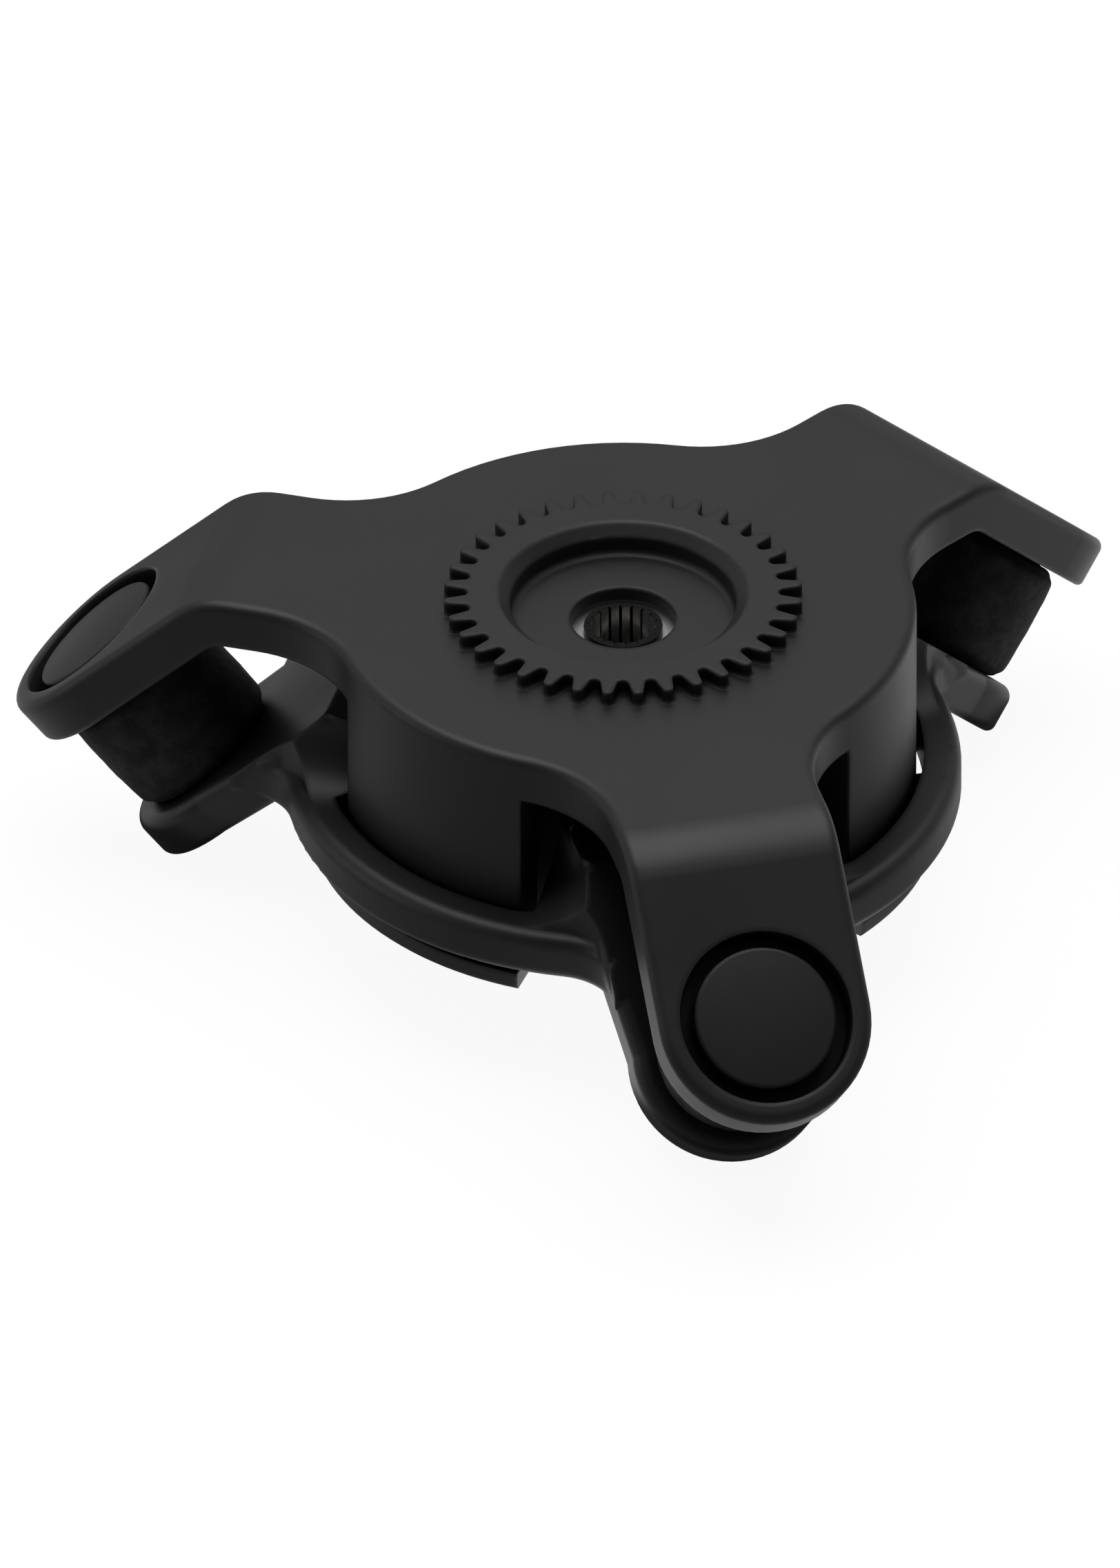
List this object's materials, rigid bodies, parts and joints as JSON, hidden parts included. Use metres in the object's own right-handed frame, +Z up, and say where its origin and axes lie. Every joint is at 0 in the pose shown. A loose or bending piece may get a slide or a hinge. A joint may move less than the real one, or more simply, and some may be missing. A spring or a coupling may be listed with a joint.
{
  "type": "vibration damper",
  "caption": "Three-arm elastomer vibration damper for a small device mount: a toothed-ring plate floats over a lower frame on sloped rubber grommets.",
  "frame": {"origin": "centre of the hub's pilot boss, at the height of the hub's lower seat", "axes": "+Z up along the axis, towards the toothed ring; the front arm points along -Y"},
  "size_m": [0.0718, 0.0641, 0.0239],
  "materials": {
    "coated_black": "satin",
    "cap_black": "satin",
    "black_steel": "satin",
    "steel": "satin",
    "rubber": "matte"
  },
  "bodies": {
    "lower": {"lower_chassis": "coated_black", "hub_washer": "steel", "cap_post_front": "cap_black", "arm_screw_front": "black_steel", "grommet_front": "rubber", "cap_post_right": "cap_black", "arm_screw_right": "black_steel", "grommet_right": "rubber", "cap_post_left": "cap_black", "arm_screw_left": "black_steel", "grommet_left": "rubber"},
    "upper": {"upper_chassis": "coated_black", "centre_bush": "steel", "toothed_insert": "steel", "bush_screws": "black_steel", "retainer_back": "coated_black", "retainer_screws_back": "black_steel", "retainer_front_left": "coated_black", "retainer_screws_front_left": "black_steel", "retainer_front_right": "coated_black", "retainer_screws_front_right": "black_steel", "buffer_front": "rubber", "buffer_right": "rubber", "buffer_left": "rubber"},
    "hub_screw": {"hub_screw": "black_steel"}
  },
  "joints": [
    {"name": "bounce", "type": "slide", "parent": "lower", "child": "upper", "axis": [0, 0, 1], "range_m": [-0.0007, 0.001], "stiffness_N_per_m": 20000, "deforming": ["grommet_front", "grommet_right", "grommet_left", "buffer_front", "buffer_right", "buffer_left"]},
    {"name": "hub_screw_turn", "type": "hinge", "parent": "lower", "child": "hub_screw", "pos_m": [0, 0, 0], "axis": [0, 0, 1], "continuous": true}
  ]
}
